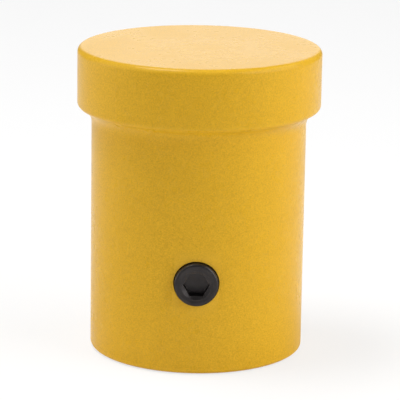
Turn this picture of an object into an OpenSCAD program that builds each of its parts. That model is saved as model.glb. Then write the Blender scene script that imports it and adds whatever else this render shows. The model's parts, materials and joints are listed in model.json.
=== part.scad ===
// Retractable bollard: a capped steel sleeve that rises and lowers on a bolted-down core.
// Millimetres. Origin on the floor at the centre of the foot, +Z up, the lock screw faces -Y.
// Drawn lowered, resting on its landing buffer, with the clamp pad just off the column.

/* [Sleeve] */
// Height of the whole bollard with the sleeve lowered
total_h = 163.7; // [140:1:260]
// Outside diameter of the sleeve barrel (4 inch nominal pipe)
barrel_d = 114.3; // [108:0.1:125]
// Wall of the sleeve barrel
barrel_wall = 6; // [5:0.5:8]
// Gap between the sleeve's lower rim and the floor
floor_gap = 0.5; // [0.4:0.1:3]
// Rounding of the sleeve's lower rim
rim_round = 1.8; // [0.4:0.1:3]

/* [Head] */
// How far the head stands out past the barrel
head_lip = 7.6; // [4:0.1:14]
// Height of the head's straight rim, top face to underside
head_h = 32.5; // [24:1:45]
// Thickness of the head's top plate
top_wall = 8; // [7:0.5:12]
// Rounding of the head's upper edge
top_round = 3; // [1:0.1:5]
// Rounding of the head's lower edge
under_round = 2.8; // [1:0.1:4]
// Radius of the hollow curve from barrel to head
cove_r = 9; // [6:0.5:14]

/* [Core] */
// Space between the fixed column and the sleeve's bore, on the radius
guide_space = 13.1; // [11:0.1:16]
// Wall of the fixed column
column_wall = 5; // [4:0.5:6]
// Gap between the foot plate and the sleeve's bore
foot_gap = 1.65; // [1:0.05:4]
// Thickness of the foot plate
foot_t = 8; // [6:0.5:12]
// Thickness of the gasket under the foot plate
gasket_t = 2; // [1:0.5:4]
// Circle of the four anchor holes
anchor_pcd = 48; // [47:0.5:49]
// Diameter of the anchor holes
anchor_hole_d = 9; // [7:0.5:9]
// Drain hole through the foot
drain_d = 10; // [6:1:14]

/* [Guides] */
// Running clearance between sliding faces, on the radius
slide_gap = 0.15; // [0.1:0.05:0.4]
// Height of the lower guide bush
bush_h = 15; // [10:1:20]
// Height of the upper wear ring
wear_h = 16; // [10:1:20]
// Height of the column above the wear ring, which sets how far the sleeve rises
column_over = 12.2; // [4:0.5:40]
// Width of the key rail
rail_w = 12; // [8:0.5:16]
// How far the key rail stands off the column
rail_t = 6; // [4:0.5:8]

/* [Lock] */
// Gap between the guide bush and the boss above it
lock_gap = 0.5; // [0.3:0.1:10]
// Diameter of the hole for the lock screw
lock_d = 24; // [22:0.5:25]
// Flat to flat size of the screw's hexagon socket
hex_af = 12; // [8:1:12]
// Depth of the hexagon socket
hex_depth = 7; // [5:0.5:7.5]
// How far the screw's head stands out of the barrel
screw_stand = 3; // [0.5:0.1:4]
// Wall of the boss around the lock screw
boss_wall = 6; // [4:0.5:8]
// Clamp pad to column gap with the sleeve free
pad_gap = 1.3; // [1.3:0.1:2]

/* [Spring] */
// Outside diameter of the lift spring
spring_d = 30; // [26:0.5:30]
// Wire of the lift spring
spring_wire = 2; // [1.6:0.1:2.4]
// Turns of the lift spring
spring_turns = 24; // [12:1:30]
// Height of the tube that guides the spring
tube_h = 84; // [40:1:100]

/* [Hidden] */
$fn = 96;
eps = 0.01;
lap = 1;

// sleeve
barrel_r = barrel_d / 2;
bore_r = barrel_r - barrel_wall;
head_r = barrel_r + head_lip;
head_z = total_h - head_h;
ceiling_z = total_h - top_wall;
edge_x = head_r - under_round;
edge_z = head_z + under_round;
cove_x = barrel_r + cove_r;
cove_span = under_round + cove_r;
cove_z = edge_z - sqrt(pow(cove_span, 2) - pow(cove_x - edge_x, 2));
turn_x = edge_x + (cove_x - edge_x) * under_round / cove_span;
turn_z = edge_z + (cove_z - edge_z) * under_round / cove_span;
under_corner_z = edge_z + under_round * (1 - (turn_x - edge_x) / under_round)
                          / ((turn_z - edge_z) / under_round);
joint_z = cove_z - 6;

// core
column_r = bore_r - guide_space;
column_bore_r = column_r - column_wall;
foot_r = bore_r - foot_gap;
foot_z = gasket_t;
deck_z = foot_z + foot_t;
buffer_t = 5.7;
buffer_gap = 0.3;
column_top_z = ceiling_z - buffer_gap - buffer_t;
skirt_h = 6;
buffer_r = column_r - 0.05;
skirt_gap = 0.05;
skirt_wall = 4;

// stack inside the sleeve's lower end
ring_z = deck_z + 1;
ring_t = 1.5;
ring_groove = 1.4;
ring_play = 0.05;
wiper_z = ring_z + ring_t + ring_play;
wiper_h = 3.4;
bush_z = wiper_z + wiper_h + ring_play;
bush_top_z = bush_z + bush_h;
seat_gap = 0.02;
wiper_lip_gap = 0.05;
key_gap = 0.15;
key_x = rail_w / 2 + key_gap;
key_y = column_r + rail_t + key_gap;

// upper wear ring, which is also the lift stop
stop_gap = 0.5;
wear_z = column_top_z - column_over - wear_h;
travel = wear_z - stop_gap - bush_top_z;
wear_r = bore_r - slide_gap;
boss_r = lock_d / 2 + boss_wall;
slot_x = boss_r + 1;
lock_z = bush_top_z + lock_gap + boss_r;
wear_mid_z = wear_z + wear_h / 2;

// key rail
rail_z = deck_z;
rail_h = wear_z - 0.5 - rail_z;
rail_y = column_r + rail_t;
rail_edge = 0.6;
rail_screw_n = 3;
rail_pitch = rail_h / rail_screw_n;

// small screws
m5_r = 2.5;
m5_head_r = 4.2;
m5_head_h = 3;
m5_key_r = 1.8;
m5_key_depth = 1.8;
m5_sink = 0.5;
m5_reach = 1;
hole_play = 0.02;

// lock screw, clamp pad
lock_r = lock_d / 2;
screw_r = lock_r - slide_gap;
screw_face_y = -barrel_r - screw_stand;
pad_face_r = column_r + pad_gap;
pad_t = 4.3;
pad_r = lock_r - 2;
pad_back_y = -(pad_face_r + pad_t);
screw_back_y = pad_back_y - 0.3;
boss_y = -(pad_face_r + 1.2);
stub_r = 4;
stub_l = 3.4;
stub_hole_r = stub_r + 0.3;
stub_hole_l = stub_l + 0.1;
clip_r = 4.9;
clip_t = 1;
clip_y = pad_back_y - 1.7;
clip_groove_r = 3.5;
clip_pocket_r = clip_r + 0.35;
clip_pocket_t = clip_t + 0.8;
face_chamfer = 1.1;
hex_dish_r = 8.1;
hex_dish = 1.2;
hole_chamfer = 0.4;
seal_wire_r = 0.9;
seal_groove_r = screw_r - 1.6;
seal_y = -barrel_r + 3.2;
seal_ring_r = seal_groove_r + seal_wire_r - 0.05;

// spring column
cup_floor = 4;
cup_r = spring_d / 2 + 0.6;
cup_bore_r = spring_d / 2 + 0.1;
cup_h = 9;
tube_gap = 1.58;
tube_wall = 1.6;
tube_r = spring_d / 2 - spring_wire - tube_gap;
tube_bore_r = tube_r - tube_wall;
spigot_r = tube_bore_r - 0.02;
spigot_h = 8;
tube_z = deck_z + cup_floor;
spring_r = spring_d / 2 - spring_wire / 2;
seat_t = 3;
seat_r = spring_d / 2 + 5;
seat_z = ceiling_z - seat_t;
seat_spigot_r = spring_d / 2 - spring_wire - 0.4;
seat_spigot_h = 5.5;
seat_head_r = 6.5;
seat_head_h = 5;
seat_bolt_r = 4;
seat_bolt_l = 8.5;
seat_key_af = 5;
seat_key_depth = 2.6;
spring_z = tube_z;
spring_h = seat_z - spring_z;

// ---- colours of the finishes ----
paint = [0.86, 0.66, 0.16];
steel = [0.62, 0.63, 0.64];
zinc = [0.72, 0.73, 0.72];
black_steel = [0.17, 0.17, 0.18];
rubber = [0.10, 0.10, 0.11];
plastic = [0.88, 0.88, 0.84];
brass = [0.78, 0.62, 0.32];

// ---- shared shapes ----

// cylinder lying along the lock screw's axis, from y0 to y1
module lock_cyl(r, y0, y1) {
    translate([0, y1, lock_z])
        rotate([90, 0, 0])
            cylinder(r = r, h = y1 - y0);
}

// cone lying along the lock screw's axis: radius r0 at y0, radius r1 at y1
module lock_cone(r0, r1, y0, y1) {
    translate([0, y1, lock_z])
        rotate([90, 0, 0])
            cylinder(r1 = r1, r2 = r0, h = y1 - y0);
}

// plain ring standing on z
module ring(r_out, r_in, z, h) {
    translate([0, 0, z])
        difference() {
            cylinder(r = r_out, h = h);
            translate([0, 0, -lap])
                cylinder(r = r_in, h = h + 2 * lap);
        }
}

// the four anchor holes, cut from z up to z + h
module anchor_holes(z, h) {
    for (a = [45 : 90 : 315])
        rotate([0, 0, a])
            translate([anchor_pcd / 2, 0, z])
                cylinder(d = anchor_hole_d, h = h, $fn = 48);
}

// small socket screw pointing inwards along +X at height z, outer face at radius r
module radial_screw(r, z, length) {
    translate([r, 0, z])
        rotate([0, -90, 0])
            difference() {
                union() {
                    cylinder(r = m5_head_r, h = m5_head_h, $fn = 48);
                    cylinder(r = m5_r, h = length, $fn = 48);
                }
                translate([0, 0, -lap])
                    cylinder(r = m5_key_r, h = m5_key_depth + lap, $fn = 6);
            }
}

// counterbored hole for the same screw
module radial_hole(r, z, length) {
    translate([r, 0, z])
        rotate([0, -90, 0])
            union() {
                translate([0, 0, -m5_sink - lap])
                    cylinder(r = m5_head_r + hole_play, h = m5_head_h + m5_sink + lap, $fn = 48);
                cylinder(r = m5_r + hole_play, h = length + 2, $fn = 48);
            }
}

// clearance for the key rail through the bush and the wiper
module key_notch(z, h) {
    translate([-key_x, 0, z - lap])
        cube([2 * key_x, key_y, h + 2 * lap]);
}

// ---- fixed core ----

module base_gasket() {
    color(rubber)
        difference() {
            cylinder(r = foot_r - 0.5, h = gasket_t);
            anchor_holes(-lap, gasket_t + 2 * lap);
            translate([0, 0, -lap])
                cylinder(d = drain_d, h = gasket_t + 2 * lap, $fn = 48);
        }
}

module foot_plate() {
    color(zinc)
        difference() {
            translate([0, 0, foot_z])
                rotate_extrude()
                    polygon([[0, 0], [foot_r, 0], [foot_r, foot_t - 0.8],
                             [foot_r - 0.8, foot_t], [0, foot_t]]);
            anchor_holes(foot_z - lap, foot_t + 2 * lap);
            translate([0, 0, foot_z - lap])
                cylinder(d = drain_d, h = foot_t + 2 * lap, $fn = 48);
        }
}

module column_tube() {
    color(steel)
        difference() {
            ring(column_r, column_bore_r, deck_z, column_top_z - deck_z);
            rail_screw_places()
                radial_hole(rail_y - m5_sink, 0, rail_t + column_wall + m5_reach);
            wear_screw_places()
                radial_hole(wear_r - m5_sink - 1, 0, wear_screw_l + 1);
        }
}

module rail_screw_places() {
    for (i = [0 : rail_screw_n - 1])
        translate([0, 0, rail_z + rail_pitch * (i + 0.5)])
            rotate([0, 0, 90])
                children();
}

module key_rail() {
    color(steel)
        difference() {
            translate([0, 0, rail_z])
                linear_extrude(height = rail_h)
                    difference() {
                        polygon([[-rail_w / 2, column_r - 2],
                                 [-rail_w / 2, rail_y - rail_edge],
                                 [-rail_w / 2 + rail_edge, rail_y],
                                 [rail_w / 2 - rail_edge, rail_y],
                                 [rail_w / 2, rail_y - rail_edge],
                                 [rail_w / 2, column_r - 2]]);
                        circle(r = column_r);
                    }
            rail_screw_places()
                radial_hole(rail_y - m5_sink, 0, rail_t + column_wall + m5_reach);
        }
}

module key_rail_screws() {
    color(black_steel)
        rail_screw_places()
            radial_screw(rail_y - m5_sink, 0, rail_t + column_wall + m5_reach - m5_sink);
}

wear_screw_l = wear_r - column_bore_r - m5_sink;

module wear_screw_places() {
    for (a = [0 : 90 : 180])
        rotate([0, 0, a])
            translate([0, 0, wear_mid_z])
                children();
}

module wear_ring() {
    color(plastic)
        difference() {
            translate([0, 0, wear_z])
                rotate_extrude()
                    polygon([[column_r, 0], [wear_r - 1, 0], [wear_r, 1],
                             [wear_r, wear_h - 1], [wear_r - 1, wear_h], [column_r, wear_h]]);
            translate([-slot_x, -wear_r - lap, wear_z - lap])
                cube([2 * slot_x, wear_r + lap, wear_h + 2 * lap]);
            wear_screw_places()
                radial_hole(wear_r - m5_sink - 1, 0, wear_screw_l);
        }
}

module wear_ring_screws() {
    color(black_steel)
        wear_screw_places()
            radial_screw(wear_r - m5_sink - 1, 0, wear_screw_l);
}

module landing_buffer() {
    color(rubber)
        translate([0, 0, column_top_z])
            rotate_extrude()
                polygon([[column_bore_r - skirt_wall, -skirt_h],
                         [column_bore_r - skirt_gap, -skirt_h],
                         [column_bore_r - skirt_gap, 0],
                         [buffer_r, 0],
                         [buffer_r, buffer_t - 1],
                         [buffer_r - 1, buffer_t],
                         [column_bore_r - skirt_wall, buffer_t]]);
}

module spring_cup() {
    color(zinc)
        translate([0, 0, deck_z])
            difference() {
                union() {
                    ring(cup_r, cup_bore_r, 0, cup_h);
                    cylinder(r = cup_r, h = cup_floor);
                    cylinder(r = spigot_r, h = cup_floor + spigot_h);
                }
                translate([0, 0, -lap])
                    cylinder(d = drain_d, h = cup_floor + spigot_h + 2 * lap, $fn = 48);
            }
}

module spring_guide_tube() {
    color(steel)
        ring(tube_r, tube_bore_r, tube_z, tube_h);
}

// close-wound ends, even coils between
function spring_h_at(t) = let(e = 1.25, n = spring_turns, c = spring_wire, p = 1.1 * c)
    t < e ? c / 2 + p * t :
    t > n - e ? spring_h - c / 2 - p * (n - t) :
    c / 2 + p * e + (spring_h - c - 2 * p * e) * (t - e) / (n - 2 * e);

spring_step = 1 / 14;
spring_sides = 6;

module lift_spring() {
    count = floor(spring_turns / spring_step);
    points = [for (i = [0 : count]) let(t = i * spring_step, a = 360 * t, z = spring_h_at(t))
              for (k = [0 : spring_sides - 1]) let(b = 360 * (k + 0.5) / spring_sides,
                  r = spring_r + spring_wire / 2 * cos(b))
              [r * cos(a), r * sin(a), z + spring_wire / 2 * sin(b)]];
    sides = [for (i = [0 : count - 1]) for (k = [0 : spring_sides - 1])
             let(j = (k + 1) % spring_sides, p = i * spring_sides, q = p + spring_sides)
             for (f = [[p + k, q + k, q + j], [p + k, q + j, p + j]]) f];
    first = [for (k = [1 : spring_sides - 2]) [0, k, k + 1]];
    base_i = count * spring_sides;
    last = [for (k = [1 : spring_sides - 2]) [base_i, base_i + k + 1, base_i + k]];
    color(steel)
        translate([0, 0, spring_z])
            polyhedron(points = points, faces = concat(sides, first, last));
}

// ---- sleeve ----

module spring_seat() {
    color(zinc)
        difference() {
            union() {
                translate([0, 0, seat_z])
                    cylinder(r = seat_r, h = seat_t);
                translate([0, 0, seat_z - seat_spigot_h])
                    cylinder(r = seat_spigot_r, h = seat_spigot_h + eps);
            }
            translate([0, 0, seat_z - seat_spigot_h - lap])
                cylinder(r = seat_head_r + 0.3, h = seat_spigot_h + lap);
            translate([0, 0, seat_z - lap])
                cylinder(r = seat_bolt_r + hole_play, h = seat_t + 2 * lap, $fn = 48);
        }
}

module spring_seat_screw() {
    color(black_steel)
        difference() {
            union() {
                translate([0, 0, seat_z - seat_head_h])
                    cylinder(r = seat_head_r, h = seat_head_h, $fn = 48);
                translate([0, 0, seat_z - eps])
                    cylinder(r = seat_bolt_r, h = seat_bolt_l + eps, $fn = 48);
            }
            translate([0, 0, seat_z - seat_head_h - lap])
                cylinder(d = seat_key_af / cos(30), h = seat_key_depth + lap, $fn = 6);
        }
}

module barrel_tube() {
    color(paint)
        difference() {
            rotate_extrude()
                union() {
                    translate([bore_r, floor_gap + rim_round])
                        square([barrel_wall, joint_z - floor_gap - rim_round]);
                    translate([bore_r, floor_gap])
                        square([barrel_wall - rim_round, 2 * rim_round]);
                    translate([barrel_r - rim_round, floor_gap + rim_round])
                        circle(r = rim_round, $fn = 48);
                }
            lock_cyl(lock_r, -barrel_r - lap, -bore_r + 8);
            lock_cone(lock_r + hole_chamfer + lap, lock_r, -barrel_r - lap, -barrel_r + hole_chamfer);
            ring(bore_r + ring_groove, bore_r - lap, ring_z - ring_play, ring_t + 2 * ring_play);
        }
}

module head_cap() {
    color(paint)
        difference() {
            rotate_extrude()
                difference() {
                    polygon([[0, joint_z], [barrel_r, joint_z], [barrel_r, cove_z],
                             [cove_x, cove_z], [turn_x, turn_z], [head_r, under_corner_z],
                             [head_r, total_h], [0, total_h]]);
                    translate([cove_x, cove_z])
                        circle(r = cove_r);
                    difference() {
                        translate([head_r - top_round, total_h - top_round])
                            square(top_round + lap);
                        translate([head_r - top_round, total_h - top_round])
                            circle(r = top_round);
                    }
                    difference() {
                        polygon([[edge_x, edge_z],
                                 [edge_x + 2 * (turn_x - edge_x), edge_z + 2 * (turn_z - edge_z)],
                                 [head_r + lap, under_corner_z - lap], [head_r + lap, edge_z]]);
                        translate([edge_x, edge_z])
                            circle(r = under_round);
                    }
                    translate([-lap, joint_z - lap])
                        square([bore_r + lap, ceiling_z - joint_z + lap]);
                }
            translate([0, 0, ceiling_z - lap])
                cylinder(r = seat_bolt_r + hole_play, h = lap + seat_bolt_l - seat_t + 0.5, $fn = 48);
        }
}

module lock_boss() {
    color(steel)
        difference() {
            intersection() {
                lock_cyl(boss_r, -barrel_r, boss_y);
                cylinder(r = bore_r, h = total_h);
            }
            lock_cyl(lock_r, -barrel_r - lap, boss_y + lap);
        }
}

module guide_bush() {
    color(plastic)
        difference() {
            translate([0, 0, bush_z])
                rotate_extrude()
                    polygon([[column_r + slide_gap, 1], [column_r + slide_gap + 1, 0],
                             [bore_r - seat_gap, 0], [bore_r - seat_gap, bush_h],
                             [column_r + slide_gap + 1, bush_h], [column_r + slide_gap, bush_h - 1]]);
            key_notch(bush_z, bush_h);
        }
}

module wiper_seal() {
    color(rubber)
        difference() {
            translate([0, 0, wiper_z])
                rotate_extrude()
                    polygon([[column_r + wiper_lip_gap, 0], [column_r + wiper_lip_gap + 3, 0.6],
                             [column_r + wiper_lip_gap + 4, 0], [bore_r - seat_gap, 0],
                             [bore_r - seat_gap, wiper_h], [column_r + wiper_lip_gap + 2, wiper_h],
                             [column_r + wiper_lip_gap + 2, 1.6], [column_r + wiper_lip_gap, 0.6]]);
            key_notch(wiper_z, wiper_h);
        }
}

module retaining_ring() {
    lug_a = 10;
    lug_r = bore_r - 3.2;
    color(black_steel)
        translate([0, 0, ring_z])
            linear_extrude(height = ring_t)
                difference() {
                    union() {
                        difference() {
                            circle(r = bore_r + ring_groove - ring_play);
                            circle(r = bore_r - 3.4);
                        }
                        for (a = [-lug_a, lug_a])
                            rotate([0, 0, 90 + a])
                                translate([lug_r, 0])
                                    circle(r = 3, $fn = 48);
                    }
                    translate([-4.2, 0])
                        square([8.4, barrel_r]);
                    for (a = [-lug_a, lug_a])
                        rotate([0, 0, 90 + a])
                            translate([lug_r, 0])
                                circle(r = 1.2, $fn = 48);
                }
}

// ---- lock ----

module clamp_pad() {
    color(brass)
        difference() {
            union() {
                lock_cyl(pad_r, pad_back_y, -column_r + 5);
                lock_cyl(stub_r, pad_back_y - stub_l, pad_back_y + eps);
            }
            translate([0, 0, lock_z - pad_r - lap])
                cylinder(r = pad_face_r, h = 2 * pad_r + 2 * lap);
            difference() {
                lock_cyl(stub_r + lap, clip_y - clip_t / 2, clip_y + clip_t / 2);
                lock_cyl(clip_groove_r, clip_y - clip_t, clip_y + clip_t);
            }
        }
}

module pad_clip() {
    color(black_steel)
        difference() {
            lock_cyl(clip_r, clip_y - clip_t / 2, clip_y + clip_t / 2);
            lock_cyl(clip_groove_r, clip_y - clip_t, clip_y + clip_t);
            translate([0, clip_y - clip_t, lock_z - 1.2])
                cube([clip_r + lap, 2 * clip_t, 2.4]);
        }
}

module lock_screw() {
    color(black_steel)
        difference() {
            union() {
                lock_cyl(screw_r, screw_face_y + face_chamfer, screw_back_y - 0.8);
                lock_cone(screw_r - face_chamfer, screw_r, screw_face_y, screw_face_y + face_chamfer);
                lock_cone(screw_r, screw_r - 0.8, screw_back_y - 0.8, screw_back_y);
            }
            translate([0, screw_face_y + hex_depth, lock_z])
                rotate([90, 0, 0])
                    cylinder(r = hex_af / 2 / cos(30), h = hex_depth + lap, $fn = 6);
            lock_cone(hex_dish_r + 2, hex_af / 2, screw_face_y - hex_dish, screw_face_y + hex_dish);
            lock_cyl(stub_hole_r, screw_back_y - stub_hole_l, screw_back_y + lap);
            lock_cyl(clip_pocket_r, clip_y - clip_pocket_t / 2, clip_y + clip_pocket_t / 2);
            difference() {
                lock_cyl(screw_r + lap, seal_y - seal_wire_r, seal_y + seal_wire_r);
                lock_cyl(seal_groove_r, seal_y - 2 * seal_wire_r, seal_y + 2 * seal_wire_r);
            }
        }
}

module screw_seal() {
    color(rubber)
        translate([0, seal_y, lock_z])
            rotate([90, 0, 0])
                rotate_extrude()
                    translate([seal_ring_r, 0])
                        circle(r = seal_wire_r - 0.05, $fn = 48);
}

// ---- assembly ----
base_gasket();
foot_plate();
column_tube();
key_rail();
key_rail_screws();
wear_ring();
wear_ring_screws();
landing_buffer();
spring_cup();
spring_guide_tube();
lift_spring();
spring_seat();
spring_seat_screw();
barrel_tube();
head_cap();
lock_boss();
guide_bush();
wiper_seal();
retaining_ring();
clamp_pad();
pad_clip();
lock_screw();
screw_seal();
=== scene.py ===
import json
import math

import bmesh
import bpy
from mathutils import Matrix, Vector


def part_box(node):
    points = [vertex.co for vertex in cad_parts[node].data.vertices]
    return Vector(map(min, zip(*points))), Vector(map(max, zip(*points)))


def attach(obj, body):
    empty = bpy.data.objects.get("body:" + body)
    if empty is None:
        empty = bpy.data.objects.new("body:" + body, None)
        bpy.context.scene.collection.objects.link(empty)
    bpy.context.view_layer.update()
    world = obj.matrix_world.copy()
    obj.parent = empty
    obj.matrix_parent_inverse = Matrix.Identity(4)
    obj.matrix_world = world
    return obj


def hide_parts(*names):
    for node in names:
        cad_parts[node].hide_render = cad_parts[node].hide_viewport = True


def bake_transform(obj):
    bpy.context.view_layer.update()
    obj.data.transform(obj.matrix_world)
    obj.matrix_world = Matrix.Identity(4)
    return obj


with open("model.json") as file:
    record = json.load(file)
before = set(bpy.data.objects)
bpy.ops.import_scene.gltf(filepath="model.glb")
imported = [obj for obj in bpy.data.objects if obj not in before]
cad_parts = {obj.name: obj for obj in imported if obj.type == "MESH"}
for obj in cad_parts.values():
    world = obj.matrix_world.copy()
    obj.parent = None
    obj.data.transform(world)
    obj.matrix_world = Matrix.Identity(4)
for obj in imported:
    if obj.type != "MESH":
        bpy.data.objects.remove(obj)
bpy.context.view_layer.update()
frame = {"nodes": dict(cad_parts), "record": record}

MM = 0.001
nodes = frame["nodes"]
scene = bpy.context.scene


# ---------------------------------------------------------------- shader helpers

def link(tree, source, target):
    """Joins an output to an input."""
    tree.links.new(source, target)


def add(tree, kind, x, y, **settings):
    """Adds a node at its place in the layout, with its settings."""
    node = tree.nodes.new(kind)
    node.location = (x, y)
    for name, value in settings.items():
        setattr(node, name, value)
    return node


def new_group(name, inputs, outputs):
    """An empty node group with named inputs (with their defaults) and outputs."""
    group = bpy.data.node_groups.new(name, "ShaderNodeTree")
    for label, kind, default in inputs:
        socket = group.interface.new_socket(name=label, in_out="INPUT", socket_type=kind)
        if default is not None:
            socket.default_value = default
    for label, kind in outputs:
        group.interface.new_socket(name=label, in_out="OUTPUT", socket_type=kind)
    start = add(group, "NodeGroupInput", -900, 0)
    end = add(group, "NodeGroupOutput", 700, 0)
    return group, start, end


def span(tree, x, y, low, high):
    """A smooth map of a value from low..high to 0..1."""
    node = add(tree, "ShaderNodeMapRange", x, y, interpolation_type="SMOOTHSTEP", clamp=True)
    node.inputs["From Min"].default_value = low
    node.inputs["From Max"].default_value = high
    return node


def maths(tree, operation, x, y, first=None, second=None):
    """A maths node; an operand left out is linked afterwards."""
    node = add(tree, "ShaderNodeMath", x, y, operation=operation)
    for i, value in enumerate((first, second)):
        if value is not None:
            node.inputs[i].default_value = value
    return node


def cloudy_group():
    """Slow uneven tone over a surface: two sizes of soft noise added together."""
    group, start, end = new_group(
        "cloudy_tone",
        [("Vector", "NodeSocketVector", None), ("Size", "NodeSocketFloat", 20.0),
         ("Low", "NodeSocketFloat", 0.0), ("High", "NodeSocketFloat", 1.0)],
        [("Tone", "NodeSocketFloat")])
    broad = add(group, "ShaderNodeTexNoise", -600, 120)
    broad.inputs["Detail"].default_value = 3.0
    fine = add(group, "ShaderNodeTexNoise", -600, -140)
    fine.inputs["Detail"].default_value = 4.0
    finer, broad_share, fine_share = 6.3, 0.65, 0.35
    bigger = maths(group, "MULTIPLY", -760, -200, None, finer)
    link(group, start.outputs["Size"], bigger.inputs[0])
    link(group, start.outputs["Vector"], broad.inputs["Vector"])
    link(group, start.outputs["Vector"], fine.inputs["Vector"])
    link(group, start.outputs["Size"], broad.inputs["Scale"])
    link(group, bigger.outputs[0], fine.inputs["Scale"])
    share = maths(group, "MULTIPLY", -400, -140, None, fine_share)
    link(group, fine.outputs["Fac"], share.inputs[0])
    total = maths(group, "MULTIPLY_ADD", -220, 60, None, broad_share)
    link(group, broad.outputs["Fac"], total.inputs[0])
    link(group, share.outputs[0], total.inputs[2])
    out = add(group, "ShaderNodeMapRange", 0, 60, clamp=True)
    out.inputs["From Min"].default_value = 0.32
    out.inputs["From Max"].default_value = 0.68
    link(group, total.outputs[0], out.inputs["Value"])
    link(group, start.outputs["Low"], out.inputs["To Min"])
    link(group, start.outputs["High"], out.inputs["To Max"])
    link(group, out.outputs["Result"], end.inputs["Tone"])
    return group


def scuff_group():
    """Thin random scratches running mostly one way, as from handling and cleaning."""
    group, start, end = new_group(
        "fine_scuffs",
        [("Vector", "NodeSocketVector", None),
         ("Stretch", "NodeSocketVector", (1.0, 1.0, 12.0)),
         ("Size", "NodeSocketFloat", 180.0), ("Sparse", "NodeSocketFloat", 0.62)],
        [("Scuff", "NodeSocketFloat")])
    stretched = add(group, "ShaderNodeVectorMath", -700, 80, operation="MULTIPLY")
    link(group, start.outputs["Vector"], stretched.inputs[0])
    link(group, start.outputs["Stretch"], stretched.inputs[1])
    lines = add(group, "ShaderNodeTexNoise", -500, 120)
    lines.inputs["Detail"].default_value = 2.0
    lines.inputs["Roughness"].default_value = 0.6
    link(group, stretched.outputs[0], lines.inputs["Vector"])
    link(group, start.outputs["Size"], lines.inputs["Scale"])
    patches = add(group, "ShaderNodeTexNoise", -500, -160)
    patches.inputs["Scale"].default_value = 45.0
    patches.inputs["Detail"].default_value = 2.0
    link(group, start.outputs["Vector"], patches.inputs["Vector"])
    above = maths(group, "SUBTRACT", -300, 120)
    link(group, lines.outputs["Fac"], above.inputs[0])
    link(group, start.outputs["Sparse"], above.inputs[1])
    steepness = 9.0
    sharp = maths(group, "MULTIPLY", -140, 120, None, steepness)
    sharp.use_clamp = True
    link(group, above.outputs[0], sharp.inputs[0])
    where = span(group, -300, -160, 0.45, 0.62)
    link(group, patches.outputs["Fac"], where.inputs["Value"])
    both = maths(group, "MULTIPLY", 60, 60)
    link(group, sharp.outputs[0], both.inputs[0])
    link(group, where.outputs["Result"], both.inputs[1])
    link(group, both.outputs[0], end.inputs["Scuff"])
    return group


def worn_edge_group():
    """White on convex edges, broken up by noise: where handling thins or rubs a finish."""
    group, start, end = new_group(
        "worn_edges",
        [("Vector", "NodeSocketVector", None), ("Width", "NodeSocketFloat", 0.0006),
         ("Breakup", "NodeSocketFloat", 400.0), ("Amount", "NodeSocketFloat", 1.0)],
        [("Wear", "NodeSocketFloat")])
    soft = add(group, "ShaderNodeBevel", -700, 160, samples=6)
    link(group, start.outputs["Width"], soft.inputs["Radius"])
    plain = add(group, "ShaderNodeNewGeometry", -700, -60)
    agree = add(group, "ShaderNodeVectorMath", -500, 120, operation="DOT_PRODUCT")
    link(group, soft.outputs["Normal"], agree.inputs[0])
    link(group, plain.outputs["Normal"], agree.inputs[1])
    on_flat, on_edge = 0.985, 0.80  # how well the softened and the plain direction agree
    edge = span(group, -320, 120, on_flat, on_edge)
    link(group, agree.outputs["Value"], edge.inputs["Value"])
    grit = add(group, "ShaderNodeTexNoise", -500, -200)
    grit.inputs["Detail"].default_value = 5.0
    link(group, start.outputs["Vector"], grit.inputs["Vector"])
    link(group, start.outputs["Breakup"], grit.inputs["Scale"])
    kept = span(group, -320, -200, 0.40, 0.60)
    link(group, grit.outputs["Fac"], kept.inputs["Value"])
    both = maths(group, "MULTIPLY", -120, 40)
    link(group, edge.outputs["Result"], both.inputs[0])
    link(group, kept.outputs["Result"], both.inputs[1])
    scaled = maths(group, "MULTIPLY", 60, 40)
    scaled.use_clamp = True
    link(group, both.outputs[0], scaled.inputs[0])
    link(group, start.outputs["Amount"], scaled.inputs[1])
    link(group, scaled.outputs[0], end.inputs["Wear"])
    return group


def turned_group():
    """Fine lathe rings: depth varies with distance from the Z axis and along it."""
    group, start, end = new_group(
        "turned_rings",
        [("Vector", "NodeSocketVector", None), ("Pitch", "NodeSocketFloat", 9000.0)],
        [("Rings", "NodeSocketFloat")])
    parts = add(group, "ShaderNodeSeparateXYZ", -760, 40)
    link(group, start.outputs["Vector"], parts.inputs[0])
    total = maths(group, "ADD", -440, 100)
    for i, (side, y) in enumerate((("X", 160), ("Y", 0))):
        square = maths(group, "MULTIPLY", -600, y)
        link(group, parts.outputs[side], square.inputs[0])
        link(group, parts.outputs[side], square.inputs[1])
        link(group, square.outputs[0], total.inputs[i])
    radius = maths(group, "SQRT", -300, 100)
    link(group, total.outputs[0], radius.inputs[0])
    place = add(group, "ShaderNodeCombineXYZ", -150, 60)
    link(group, radius.outputs[0], place.inputs["X"])
    link(group, parts.outputs["Z"], place.inputs["Y"])
    rings = add(group, "ShaderNodeTexNoise", 40, 60)
    rings.inputs["Detail"].default_value = 2.0
    link(group, place.outputs[0], rings.inputs["Vector"])
    link(group, start.outputs["Pitch"], rings.inputs["Scale"])
    link(group, rings.outputs["Fac"], end.inputs["Rings"])
    return group


CLOUDY = cloudy_group()
SCUFFS = scuff_group()
WORN = worn_edge_group()
TURNED = turned_group()


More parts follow.
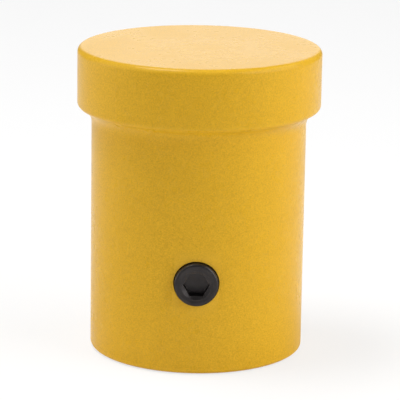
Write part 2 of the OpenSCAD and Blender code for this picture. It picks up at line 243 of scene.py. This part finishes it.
class Finish:
    """A material under construction: its tree, its surface shader and its coordinates."""

    def __init__(self, name):
        self.material = bpy.data.materials.new(name)
        self.material.use_nodes = True
        self.tree = self.material.node_tree
        self.tree.nodes.clear()
        self.surface = add(self.tree, "ShaderNodeBsdfPrincipled", 500, 0)
        self.end = add(self.tree, "ShaderNodeOutputMaterial", 800, 0)
        link(self.tree, self.surface.outputs[0], self.end.inputs["Surface"])
        self.place = add(self.tree, "ShaderNodeTexCoord", -1100, 0)
        self.here = self.place.outputs["Object"]

    def effect(self, group, x, y, **values):
        """Places a shared effect and sets its inputs."""
        node = add(self.tree, "ShaderNodeGroup", x, y, node_tree=group)
        link(self.tree, self.here, node.inputs["Vector"])
        for label, value in values.items():
            node.inputs[label].default_value = value
        return node.outputs[0]

    def blend_colour(self, x, y, mask, first, second):
        """First colour where the mask is black, second where it is white."""
        node = add(self.tree, "ShaderNodeMix", x, y, data_type="RGBA")
        link(self.tree, mask, node.inputs[0])
        for socket, value in ((node.inputs[6], first), (node.inputs[7], second)):
            if isinstance(value, tuple):
                socket.default_value = (*value, 1.0)
            else:
                link(self.tree, value, socket)
        return node.outputs[2]

    def sum_of(self, x, y, first, second, share, capped=True):
        """First plus a share of second; left uncapped for heights."""
        node = maths(self.tree, "MULTIPLY_ADD", x, y, None, share)
        node.use_clamp = capped
        link(self.tree, second, node.inputs[0])
        link(self.tree, first, node.inputs[2])
        return node.outputs[0]

    def noise(self, x, y, size, detail):
        """Plain noise over the object, as one value."""
        node = add(self.tree, "ShaderNodeTexNoise", x, y)
        node.inputs["Scale"].default_value = size
        node.inputs["Detail"].default_value = detail
        link(self.tree, self.here, node.inputs["Vector"])
        return node.outputs["Fac"]

    def bump(self, height, strength, distance):
        """Makes the surface's fine relief from a height."""
        node = add(self.tree, "ShaderNodeBump", 260, -260)
        node.inputs["Strength"].default_value = strength
        node.inputs["Distance"].default_value = distance
        link(self.tree, height, node.inputs["Height"])
        link(self.tree, node.outputs["Normal"], self.surface.inputs["Normal"])

    def set(self, **values):
        """Sets or links the surface's inputs; an underscore stands for a space."""
        for label, value in values.items():
            socket = self.surface.inputs[label.replace("_", " ")]
            if hasattr(value, "is_output"):
                link(self.tree, value, socket)
            else:
                socket.default_value = value


def powder_coat():
    """Golden-yellow semi-gloss powder coat: fine grain, faint peel, and a painted highlight that
    makes the coat paler on its rounded edges.
    """
    deep, warm = (0.495, 0.276, 0.008), (0.535, 0.299, 0.010)
    grain_light, painted_edge_highlight = (0.790, 0.452, 0.024), (0.74, 0.43, 0.032)
    f = Finish("powder_coat")
    tone = f.effect(CLOUDY, -800, 300, Size=14.0)
    body = f.blend_colour(-500, 300, tone, deep, warm)
    speck = f.effect(CLOUDY, -800, 60, Size=1300.0)
    grained = f.blend_colour(-260, 300, speck, body, grain_light)
    # Painted highlight: near the worked edges, in patches, the coat's colour goes to a paler
    # yellow that stands in for the light the rounded rims catch.
    near_edge = add(f.tree, "ShaderNodeAttribute", -800, -160, attribute_name="near_edge")
    patchy = f.effect(CLOUDY, -800, -300, Size=90.0, Low=0.25, High=0.75)
    edge = maths(f.tree, "MULTIPLY", -600, -200)
    link(f.tree, near_edge.outputs["Fac"], edge.inputs[0])
    link(f.tree, patchy, edge.inputs[1])
    colour = f.blend_colour(0, 300, edge.outputs[0], grained, painted_edge_highlight)
    peel = f.noise(-800, -420, size=560.0, detail=2.0)
    dust = f.noise(-800, -600, size=2600.0, detail=2.0)
    height = f.sum_of(-400, -420, peel, dust, share=0.25, capped=False)
    rough = f.effect(CLOUDY, -500, -40, Size=26.0, Low=0.25, High=0.31)
    f.bump(height, strength=0.09, distance=0.12 * MM)
    f.set(Base_Color=colour, Roughness=rough, IOR=1.23)
    return f.material


def bare_steel(name, dark, light, low, high, pitch=7000.0):
    """Drawn, turned or plated steel: fine rings, light scuffs, a film of grease in patches.

    Dark and light are its two tones, low and high its roughness, pitch the rings' fineness.
    """
    rubbed = tuple(min(1.0, 1.35 * level) for level in light)
    f = Finish(name)
    tone = f.effect(CLOUDY, -800, 300, Size=22.0)
    rings = f.effect(TURNED, -800, 80, Pitch=pitch)
    scuff = f.effect(SCUFFS, -800, -120, Stretch=(4.0, 4.0, 0.5), Size=260.0, Sparse=0.6)
    edge = f.effect(WORN, -800, -320, Width=0.0006, Breakup=500.0, Amount=0.8)
    body = f.blend_colour(-500, 300, tone, dark, light)
    ringed = f.blend_colour(-300, 300, rings, body, light)
    bright = f.sum_of(-500, -200, scuff, edge, share=1.0)
    colour = f.blend_colour(-60, 300, bright, ringed, rubbed)
    rough = f.effect(CLOUDY, -500, 0, Size=40.0, Low=low, High=high)
    height = f.sum_of(-300, -300, rings, scuff, share=0.4, capped=False)
    f.bump(height, strength=0.25, distance=0.06 * MM)
    f.set(Base_Color=colour, Roughness=rough, Metallic=1.0)
    return f.material


def black_oxide():
    """Black-oxide steel: near-black, satin, brown-grey rub on the sharp edges."""
    dark, light, bare = (0.024, 0.021, 0.021), (0.042, 0.037, 0.036), (0.16, 0.14, 0.125)
    f = Finish("black_oxide_steel")
    tone = f.effect(CLOUDY, -800, 300, Size=160.0)
    body = f.blend_colour(-500, 300, tone, dark, light)
    edge = f.effect(WORN, -800, -100, Width=0.0005, Breakup=900.0, Amount=1.0)
    scuff = f.effect(SCUFFS, -800, -320, Stretch=(1.0, 1.0, 1.0), Size=900.0, Sparse=0.6)
    rubbed = f.sum_of(-500, -100, edge, scuff, share=0.35)
    colour = f.blend_colour(-200, 300, rubbed, body, bare)
    rough = f.effect(CLOUDY, -500, 100, Size=300.0, Low=0.28, High=0.42)
    grain = f.noise(-800, -560, size=2400.0, detail=4.0)
    height = f.sum_of(-300, -400, grain, scuff, share=0.5, capped=False)
    f.bump(height, strength=0.35, distance=0.08 * MM)
    f.set(Base_Color=colour, Roughness=rough, Metallic=0.75)
    return f.material


def black_rubber():
    """Moulded rubber: matt, a little dusty, faint mould texture."""
    clean, dusty, rubbed = (0.016, 0.016, 0.017), (0.036, 0.035, 0.034), (0.07, 0.07, 0.068)
    f = Finish("black_rubber")
    dust = f.effect(CLOUDY, -800, 300, Size=60.0)
    colour = f.blend_colour(-500, 300, dust, clean, dusty)
    edge = f.effect(WORN, -800, 60, Width=0.0006, Breakup=300.0, Amount=0.6)
    worn = f.blend_colour(-260, 300, edge, colour, rubbed)
    rough = f.effect(CLOUDY, -500, 0, Size=90.0, Low=0.62, High=0.80)
    grain = f.noise(-800, -300, size=1800.0, detail=4.0)
    f.bump(grain, strength=0.3, distance=0.1 * MM)
    f.set(Base_Color=worn, Roughness=rough)
    return f.material


def guide_plastic():
    """Machined low-friction plastic: off-white, waxy, fine turning rings, grey rubbing marks."""
    dull, pale, marked = (0.66, 0.65, 0.59), (0.75, 0.74, 0.69), (0.40, 0.40, 0.38)
    f = Finish("guide_plastic")
    tone = f.effect(CLOUDY, -800, 300, Size=30.0)
    body = f.blend_colour(-500, 300, tone, dull, pale)
    rub = f.effect(SCUFFS, -800, 60, Stretch=(6.0, 6.0, 0.6), Size=160.0, Sparse=0.55)
    edge = f.effect(WORN, -800, -140, Width=0.0008, Breakup=300.0, Amount=0.7)
    marks = f.sum_of(-500, 0, rub, edge, share=0.5)
    colour = f.blend_colour(-260, 300, marks, body, marked)
    rings = f.effect(TURNED, -800, -360, Pitch=5200.0)
    rough = f.effect(CLOUDY, -500, -200, Size=60.0, Low=0.42, High=0.56)
    f.bump(rings, strength=0.3, distance=0.08 * MM)
    f.set(Base_Color=colour, Roughness=rough, Subsurface_Weight=0.12, Subsurface_Scale=2 * MM)
    return f.material


def turned_brass():
    """Turned brass: warm, fine grain, slight brown tarnish in patches."""
    brown, warm, rubbed = (0.50, 0.33, 0.11), (0.72, 0.52, 0.22), (0.85, 0.68, 0.36)
    f = Finish("turned_brass")
    tone = f.effect(CLOUDY, -800, 300, Size=120.0)
    body = f.blend_colour(-500, 300, tone, brown, warm)
    edge = f.effect(WORN, -800, 60, Width=0.0005, Breakup=700.0, Amount=0.9)
    colour = f.blend_colour(-260, 300, edge, body, rubbed)
    grain = f.noise(-800, -200, size=3000.0, detail=3.0)
    rough = f.effect(CLOUDY, -500, -100, Size=90.0, Low=0.24, High=0.40)
    f.bump(grain, strength=0.2, distance=0.05 * MM)
    f.set(Base_Color=colour, Roughness=rough, Metallic=1.0)
    return f.material


FINISH = {
    "yellow_coat": powder_coat(),
    "column_steel": bare_steel("drawn_steel", (0.36, 0.36, 0.37), (0.52, 0.53, 0.54),
                               low=0.24, high=0.38),
    "zinc_steel": bare_steel("zinc_steel", (0.50, 0.52, 0.53), (0.64, 0.66, 0.66),
                             low=0.30, high=0.46, pitch=3000.0),
    "spring_steel": bare_steel("spring_steel", (0.20, 0.20, 0.21), (0.34, 0.34, 0.36),
                               low=0.22, high=0.34),
    "black_steel": black_oxide(),
    "gasket_rubber": black_rubber(),
    "guide_plastic": guide_plastic(),
    "pad_brass": turned_brass(),
}

slot_of = {part["node"]: part["material_slot"] for part in frame["record"]["subparts"]}
for name, node in nodes.items():
    node.data.materials.clear()
    node.data.materials.append(FINISH[slot_of[name]])


# ---------------------------------------------------------------- shared making

SAME_POINT = 0.001 * MM     # points nearer than this are made one
ON_SURFACE = 0.02 * MM      # how far off a point may be and still count as on a surface
PLAY = 0.05 * MM            # room on each side of a ring in its groove
SLEEVE_STEPS, SCREW_STEPS, WELD_STEPS = 192, 128, 360

BARREL_R = 57.15 * MM
BORE_R = 51.15 * MM
HEAD_R = 64.75 * MM
CAP_THICKNESS = 8.0 * MM
HEAD_DEPTH = 32.5 * MM
head_low, head_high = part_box("head_cap")
JOINT_Z = head_low.z
TOP_Z = head_high.z
CEILING_Z = TOP_Z - CAP_THICKNESS
UNDERSIDE_Z = TOP_Z - HEAD_DEPTH
screw_low, screw_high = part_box("lock_screw")
LOCK_Z = (screw_low.z + screw_high.z) / 2
LOCK_R = 12.0 * MM
SCREW_R = screw_high.x
FACE_Y = screw_low.y
BACK_Y = screw_high.y


def arc(across, up, radius, start, stop, steps):
    """Points on an arc in the turning plane, angles in degrees from the outward direction."""
    points = []
    for i in range(steps + 1):
        angle = math.radians(start + (stop - start) * i / steps)
        points.append((across + radius * math.cos(angle), up + radius * math.sin(angle)))
    return points


def spin_profile(bm, profile, steps, closed, axis="Z"):
    """Turns a profile of (radius, height) points once round the Z or Y axis."""
    if axis == "Z":
        made = [bm.verts.new((r, 0.0, h)) for r, h in profile]
    else:
        made = [bm.verts.new((r, h, 0.0)) for r, h in profile]
    pairs = list(zip(made, made[1:]))
    if closed:
        pairs.append((made[-1], made[0]))
    edges = [bm.edges.new(pair) for pair in pairs]
    bmesh.ops.spin(bm, geom=made + edges, cent=(0, 0, 0), dvec=(0, 0, 0),
                   axis=(0, 0, 1) if axis == "Z" else (0, 1, 0),
                   angle=math.tau, steps=steps, use_merge=True, use_duplicate=False)
    bmesh.ops.remove_doubles(bm, verts=bm.verts, dist=SAME_POINT)
    bmesh.ops.recalc_face_normals(bm, faces=bm.faces)


def finish_piece(name, bm, slot, body, sharp_at=32.0):
    """Makes the object from the worked mesh, with its finish, riding on its body if any."""
    mesh = bpy.data.meshes.new(name)
    bm.to_mesh(mesh)
    bm.free()
    mesh.materials.append(FINISH[slot])
    mesh.shade_smooth()
    mesh.set_sharp_from_angle(angle=math.radians(sharp_at))
    piece = bpy.data.objects.new(name, mesh)
    scene.collection.objects.link(piece)
    if body is not None:
        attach(piece, body)
    return piece


def worked_out(item):
    """The object's mesh with its modifiers or its curve worked out."""
    worked = item.evaluated_get(bpy.context.evaluated_depsgraph_get())
    return bpy.data.meshes.new_from_object(worked)


def cut_away(bm, cutter):
    """Subtracts the cutter's solid from the worked mesh, and returns the result as a new one."""
    objects = []
    for label, work in (("cut_body", bm), ("cut_tool", cutter)):
        mesh = bpy.data.meshes.new(label)
        work.to_mesh(mesh)
        work.free()
        item = bpy.data.objects.new(label, mesh)
        scene.collection.objects.link(item)
        objects.append(item)
    body, tool = objects
    change = body.modifiers.new("cut", "BOOLEAN")
    change.operation = "DIFFERENCE"
    change.solver = "EXACT"
    change.object = tool
    done = worked_out(body)
    result = bmesh.new()
    result.from_mesh(done)
    for item in objects:
        mesh = item.data
        bpy.data.objects.remove(item)
        bpy.data.meshes.remove(mesh)
    bpy.data.meshes.remove(done)
    bmesh.ops.remove_doubles(result, verts=result.verts, dist=SAME_POINT)
    return result


def round_off(bm, chosen, width, segments):
    """Rounds the chosen edges of the worked mesh."""
    bmesh.ops.bevel(bm, geom=chosen, offset=width, offset_type="OFFSET", affect="EDGES",
                    segments=segments, profile=0.5, material=-1, clamp_overlap=True)


def mark_edges(piece, closeness):
    """Stores on each point how near it is to a worked edge, 0 to 1, for the coat to read as where
    to paint its edge highlight.
    """
    layer = piece.data.attributes.new("near_edge", "FLOAT", "POINT")
    layer.data.foreach_set("value", [closeness(v.co) for v in piece.data.vertices])


def true_round_normals(piece, radii):
    """Gives points on the plain cylinder walls their exact outward direction."""
    normals = []
    for v in piece.data.vertices:
        flat = Vector((v.co.x, v.co.y, 0.0))
        on_wall = any(abs(flat.length - r) < ON_SURFACE for r in radii)
        normals.append(flat.normalized() if on_wall else Vector((0.0, 0.0, 0.0)))
    piece.data.normals_split_custom_set_from_vertices(normals)


def facing_front(y):
    """Lays a cutter along the screw's axis at this depth, its second end to the front."""
    return Matrix.Translation((0, y, LOCK_Z)) @ Matrix.Rotation(math.pi / 2, 4, "X")


def near(value, low, high):
    """1 up to low, falling evenly to 0 at high."""
    return min(1.0, max(0.0, (high - value) / (high - low)))


# ---------------------------------------------------------------- sleeve

def make_head():
    """The capped head: flat top, rounded rim and underside, and a hollow curve below."""
    top_round, under_round, cove = 3.0 * MM, 2.8 * MM, 9.0 * MM
    hole_r, hole_top = 4.02 * MM, CEILING_Z + 6 * MM
    edge_x, edge_z = HEAD_R - under_round, UNDERSIDE_Z + under_round
    cove_x = BARREL_R + cove
    drop = math.sqrt((under_round + cove) ** 2 - (cove_x - edge_x) ** 2)
    cove_z = edge_z - drop
    lean = math.degrees(math.atan2(-drop, cove_x - edge_x))
    profile = [(0.0, TOP_Z), (0.030, TOP_Z), (HEAD_R - top_round - 1.5 * MM, TOP_Z)]
    profile += arc(HEAD_R - top_round, TOP_Z - top_round, top_round, 90, 0, 10)
    profile += [(HEAD_R, TOP_Z - 8 * MM), (HEAD_R, edge_z + 6 * MM)]
    profile += arc(edge_x, edge_z, under_round, 0, lean, 10)
    profile += arc(cove_x, cove_z, cove, lean + 180.0, 180.0, 14)[1:]
    profile += [(BARREL_R, JOINT_Z), (BORE_R, JOINT_Z), (BORE_R, CEILING_Z),
                (hole_r, CEILING_Z), (hole_r, hole_top), (0.0, hole_top)]
    bm = bmesh.new()
    spin_profile(bm, profile, SLEEVE_STEPS, closed=False)
    head = finish_piece("sleeve_head", bm, "yellow_coat", "sleeve")

    # How strongly the painted highlight falls here: full on the top rim, half on the rim of the
    # underside.
    def closeness(p):
        across = math.hypot(p.x, p.y) - HEAD_R
        top = near(math.hypot(across, p.z - TOP_Z), 0.9 * MM, 3.2 * MM)
        under = near(math.hypot(across, p.z - UNDERSIDE_Z), 0.9 * MM, 3.0 * MM)
        return max(top, 0.5 * under)

    mark_edges(head, closeness)
    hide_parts("head_cap")


def make_barrel():
    """The sleeve's tube: rounded lower rim, retaining ring's groove and the screw's hole."""
    low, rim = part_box("barrel_tube")[0].z, 1.8 * MM
    ring_low, ring_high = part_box("retaining_ring")
    inner_edge, groove, belt = 0.4 * MM, BORE_R + 1.4 * MM, 20 * MM
    groove_from, groove_to = ring_low.z - PLAY, ring_high.z + PLAY
    profile = [(BARREL_R, JOINT_Z), (BARREL_R, LOCK_Z + belt), (BARREL_R, LOCK_Z - belt),
               (BARREL_R, low + rim + 1.5 * MM)]
    profile += arc(BARREL_R - rim, low + rim, rim, 0, -90, 6)
    profile += [(BORE_R + inner_edge, low), (BORE_R, low + inner_edge),
                (BORE_R, groove_from), (groove, groove_from),
                (groove, groove_to), (BORE_R, groove_to), (BORE_R, JOINT_Z)]
    bm = bmesh.new()
    spin_profile(bm, profile, SLEEVE_STEPS, closed=True)
    drill = bmesh.new()
    bmesh.ops.create_cone(drill, cap_ends=True, segments=SCREW_STEPS,
                          radius1=LOCK_R, radius2=LOCK_R,
                          depth=20 * MM, matrix=facing_front(-BARREL_R))
    bm = cut_away(bm, drill)

    def from_axis(p):
        return math.hypot(p.x, p.z - LOCK_Z)

    lip = [e for e in bm.edges
           if all(abs(from_axis(v.co) - LOCK_R) < ON_SURFACE and v.co.y < 0
                  and abs(math.hypot(v.co.x, v.co.y) - BARREL_R) < PLAY for v in e.verts)]
    round_off(bm, lip, width=0.35 * MM, segments=3)
    barrel = finish_piece("sleeve_barrel", bm, "yellow_coat", "sleeve")
    true_round_normals(barrel, (BARREL_R, BORE_R))

    # How strongly the painted highlight falls here: on the rounded foot and round the lip of the
    # screw's hole.
    def closeness(p):
        foot = near(p.z - low, 0.4 * MM, 2.4 * MM)
        hole = near(abs(from_axis(p) - LOCK_R), 0.2 * MM, 1.2 * MM) if p.y < 0 else 0.0
        return max(foot, hole)

    mark_edges(barrel, closeness)
    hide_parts("barrel_tube")


# ---------------------------------------------------------------- lock screw

def make_lock_screw():
    """Socket screw: rounded head, dished hexagon, seal groove, real thread, pad socket."""
    seal_low, seal_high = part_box("screw_seal")
    core, groove = SCREW_R - 1.25 * MM, SCREW_R - 1.6 * MM
    groove_from, groove_to = seal_low.y - PLAY, seal_high.y + PLAY
    thread_from, thread_to = seal_high.y + 0.9 * MM, BACK_Y - 0.9 * MM
    head_r, corner_r, back_edge = SCREW_R - 0.4 * MM, 1.3 * MM, 0.8 * MM
    socket_r, socket_end = 4.3 * MM, BACK_Y - 3.5 * MM
    profile = [(0.0, FACE_Y + 0.12 * MM), (8.9 * MM, FACE_Y + 0.12 * MM),
               (9.25 * MM, FACE_Y + 0.02 * MM), (9.45 * MM, FACE_Y)]
    profile += arc(head_r - corner_r, FACE_Y + corner_r, corner_r, -90, 0, 10)
    profile += [(head_r, -BARREL_R + 1.2 * MM), (SCREW_R, -BARREL_R + 1.6 * MM),
                (SCREW_R, groove_from), (groove, groove_from),
                (groove, groove_to), (SCREW_R, groove_to), (SCREW_R, seal_high.y + 0.5 * MM),
                (core, thread_from), (core, BACK_Y - back_edge), (core - back_edge, BACK_Y),
                (socket_r, BACK_Y), (socket_r, socket_end), (0.0, socket_end)]
    bm = bmesh.new()
    spin_profile(bm, profile, SCREW_STEPS, closed=False, axis="Y")
    bmesh.ops.translate(bm, verts=bm.verts, vec=(0, 0, LOCK_Z))
    hexagon = bmesh.new()
    key_r, drill_point, cutter_y = 6.0 * MM, 0.8 * MM, FACE_Y + 2.5 * MM
    corner = key_r / math.cos(math.radians(30))
    flat_side_up = Matrix.Rotation(math.radians(90), 4, "Z")
    bmesh.ops.create_cone(hexagon, cap_ends=True, segments=6, radius1=corner, radius2=corner,
                          depth=9 * MM, matrix=facing_front(cutter_y) @ flat_side_up)
    inner_end = [f for f in hexagon.faces if f.calc_center_median().y > FACE_Y + 5 * MM]
    poked = bmesh.ops.poke(hexagon, faces=inner_end)
    for v in poked["verts"]:
        v.co.y += drill_point
    bm = cut_away(bm, hexagon)
    dish, dish_r = bmesh.new(), 10.2 * MM
    bmesh.ops.create_cone(dish, cap_ends=True, segments=96, radius1=key_r, radius2=dish_r,
                          depth=2.4 * MM, matrix=facing_front(FACE_Y))
    bm = cut_away(bm, dish)
    screw = finish_piece("lock_screw_body", bm, "black_steel", "lock_screw", sharp_at=24.0)
    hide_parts("lock_screw")

    thread = bmesh.new()
    crest, root, pitch, per_turn = SCREW_R, core - 0.1 * MM, 3.0 * MM, 64
    run_out = 0.9 * MM
    tooth = [(root, -1.25 * MM), (crest, -0.25 * MM), (crest, 0.25 * MM), (root, 1.25 * MM)]
    first = [thread.verts.new((r, thread_from + run_out + y, 0.0)) for r, y in tooth]
    outline = [thread.edges.new((first[i], first[(i + 1) % 4])) for i in range(4)]
    turns = (thread_to - thread_from - 2 * run_out) / pitch
    steps = int(turns * per_turn)
    bmesh.ops.spin(thread, geom=first + outline, cent=(0, 0, 0), axis=(0, 1, 0),
                   dvec=(0, pitch / per_turn, 0), angle=math.tau * steps / per_turn, steps=steps,
                   use_merge=False, use_duplicate=False)
    bmesh.ops.holes_fill(thread, edges=thread.edges, sides=4)
    bmesh.ops.recalc_face_normals(thread, faces=thread.faces)
    bmesh.ops.translate(thread, verts=thread.verts, vec=(0, 0, LOCK_Z))
    finish_piece("lock_screw_thread", thread, "black_steel", "lock_screw", sharp_at=28.0)


# ---------------------------------------------------------------- core

def make_spring():
    """Round-wire compression spring with close-wound ends, between its cup and its seat."""
    low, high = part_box("lift_spring")
    wire, radius, turns, per_turn = 2.0 * MM, 14.0 * MM, 24, 28
    length = high.z - low.z
    close, close_pitch = 1.25, 1.1 * wire
    curve = bpy.data.curves.new("spring_line", "CURVE")
    curve.dimensions = "3D"
    curve.bevel_depth = wire / 2
    curve.bevel_resolution = 2
    curve.use_fill_caps = True
    line = curve.splines.new("POLY")
    count = turns * per_turn
    line.points.add(count)
    open_length = length - wire - 2 * close_pitch * close
    for i in range(count + 1):
        t = i / per_turn
        if t < close:
            h = wire / 2 + close_pitch * t
        elif t > turns - close:
            h = length - wire / 2 - close_pitch * (turns - t)
        else:
            h = (wire / 2 + close_pitch * close
                 + open_length * (t - close) / (turns - 2 * close))
        angle = math.tau * t
        line.points[i].co = (radius * math.cos(angle), radius * math.sin(angle), low.z + h, 1.0)
    holder = bpy.data.objects.new("spring_line", curve)
    scene.collection.objects.link(holder)
    mesh = worked_out(holder)
    bpy.data.objects.remove(holder)
    bm = bmesh.new()
    bm.from_mesh(mesh)
    bpy.data.meshes.remove(mesh)
    spring = finish_piece("coil_spring", bm, "spring_steel", None, sharp_at=60.0)
    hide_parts("lift_spring")
    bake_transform(spring)


def make_foot_weld():
    """Fillet weld between the column and the foot plate, with the ripple of a hand-laid bead."""
    radius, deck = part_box("column_tube")[1].x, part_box("foot_plate")[1].z
    leg, sunk, plump = 2.1 * MM, 0.2 * MM, 0.96
    profile = [(radius - sunk, deck - sunk), (radius + leg, deck - sunk)]
    profile += [(radius + leg * (1 - math.sin(a)) * plump, deck + leg * (1 - math.cos(a)) * plump)
                for a in (0.12, 0.5, 0.9, 1.3)]
    profile += [(radius - sunk, deck + leg)]
    bm = bmesh.new()
    spin_profile(bm, profile, WELD_STEPS, closed=True)
    ripples, ripple, sways, sway = 92, 0.0009, 17, 0.0006
    for v in bm.verts:
        angle = math.atan2(v.co.y, v.co.x)
        reach = math.hypot(v.co.x, v.co.y) - radius
        if reach > 0.1 * MM and v.co.z > deck:
            lean = 2.0 * (v.co.z - deck) / leg
            swell = (1.0 + ripple * math.sin(ripples * angle + lean)
                     + sway * math.sin(sways * angle))
            v.co.x *= swell
            v.co.y *= swell
    finish_piece("foot_weld", bm, "column_steel", "base", sharp_at=50.0)


make_head()
make_barrel()
make_lock_screw()
make_spring()
make_foot_weld()


# ---------------------------------------------------------------- floor, light, camera

AIM = Vector((0.0, 0.0, 0.08))
ROOM_LIGHT = 0.16
FLOOR_GLOW = 0.7
WHITE = (1.0, 1.0, 1.0, 1.0)


def plain_floor():
    """A wide pale floor; part of it glows for the camera alone, so that it shows near white."""
    bm = bmesh.new()
    half_width = 4.0
    bmesh.ops.create_grid(bm, x_segments=2, y_segments=2, size=half_width)
    mesh = bpy.data.meshes.new("floor")
    bm.to_mesh(mesh)
    bm.free()
    floor = bpy.data.objects.new("floor", mesh)
    scene.collection.objects.link(floor)
    f = Finish("pale_floor")
    tone = f.effect(CLOUDY, -800, 300, Size=3.0)
    colour = f.blend_colour(-400, 300, tone, (0.90, 0.90, 0.90), (0.92, 0.92, 0.92))
    f.set(Base_Color=colour, Roughness=0.9, Specular_IOR_Level=0.1)
    glow = add(f.tree, "ShaderNodeEmission", 500, -400)
    rays = add(f.tree, "ShaderNodeLightPath", 200, 300)
    seen = maths(f.tree, "MULTIPLY", 400, 300, None, FLOOR_GLOW)
    link(f.tree, rays.outputs["Is Camera Ray"], seen.inputs[0])
    paler = add(f.tree, "ShaderNodeMixShader", 700, 100)
    link(f.tree, seen.outputs[0], paler.inputs[0])
    link(f.tree, f.surface.outputs[0], paler.inputs[1])
    link(f.tree, glow.outputs[0], paler.inputs[2])
    link(f.tree, paler.outputs[0], f.end.inputs["Surface"])
    mesh.materials.append(f.material)


def white_room():
    """An even room: dim as a light, plain white where the camera sees it."""
    world = bpy.data.worlds.new("studio")
    scene.world = world
    world.use_nodes = True
    tree = world.node_tree
    lit, end = tree.nodes["Background"], tree.nodes["World Output"]
    lit.inputs["Color"].default_value = WHITE
    lit.inputs["Strength"].default_value = ROOM_LIGHT
    shown = tree.nodes.new("ShaderNodeBackground")
    shown.inputs["Color"].default_value = WHITE
    rays = tree.nodes.new("ShaderNodeLightPath")
    either = tree.nodes.new("ShaderNodeMixShader")
    link(tree, rays.outputs["Is Camera Ray"], either.inputs[0])
    link(tree, lit.outputs[0], either.inputs[1])
    link(tree, shown.outputs[0], either.inputs[2])
    link(tree, either.outputs[0], end.inputs["Surface"])


def soft_panel(name, place, width, height, power):
    """A rectangular light turned towards the post."""
    lamp = bpy.data.lights.new(name, "AREA")
    lamp.shape = "RECTANGLE"
    lamp.size, lamp.size_y = width, height
    lamp.energy = power
    panel = bpy.data.objects.new(name, lamp)
    scene.collection.objects.link(panel)
    panel.location = place
    panel.rotation_mode = "QUATERNION"
    panel.rotation_quaternion = (AIM - Vector(place)).to_track_quat("-Z", "Y")


def set_camera():
    """A long lens in front of the post, looking a little down."""
    place, pan, tilt, roll = (0.0, -1.2965, 0.4122), -0.0555, 90.0 - 14.378, 0.909
    lens = bpy.data.cameras.new("camera")
    lens.sensor_width = 36.0
    lens.lens = 224.4
    lens.clip_start, lens.clip_end = 0.05, 50.0
    camera = bpy.data.objects.new("camera", lens)
    scene.collection.objects.link(camera)
    camera.matrix_world = (Matrix.Translation(place)
                           @ Matrix.Rotation(math.radians(pan), 4, "Z")
                           @ Matrix.Rotation(math.radians(tilt), 4, "X")
                           @ Matrix.Rotation(math.radians(roll), 4, "Z"))
    scene.camera = camera
    scene.view_settings.view_transform = "Standard"


plain_floor()
white_room()
for name, place, width, height, power in (
        ("left_panel", (-1.5, -0.30, 0.90), 2.0, 1.8, 11.3),
        ("left_low_panel", (-1.6, 0.0, 0.25), 1.4, 0.4, 3.4),
        ("right_panel", (1.5, -0.35, 0.90), 2.0, 1.8, 22.6),
        ("right_front_panel", (1.35, -0.75, 0.70), 1.2, 1.0, 6.6),
        ("back_panel", (0.0, 1.90, 0.60), 1.1, 0.9, 4.4),
        ("top_left_panel", (-0.45, 0.05, 1.50), 0.8, 0.5, 13.9),
        ("top_right_panel", (1.15, 0.55, 1.45), 0.35, 0.5, 1.5)):
    soft_panel(name, place, width, height, power)
set_camera()
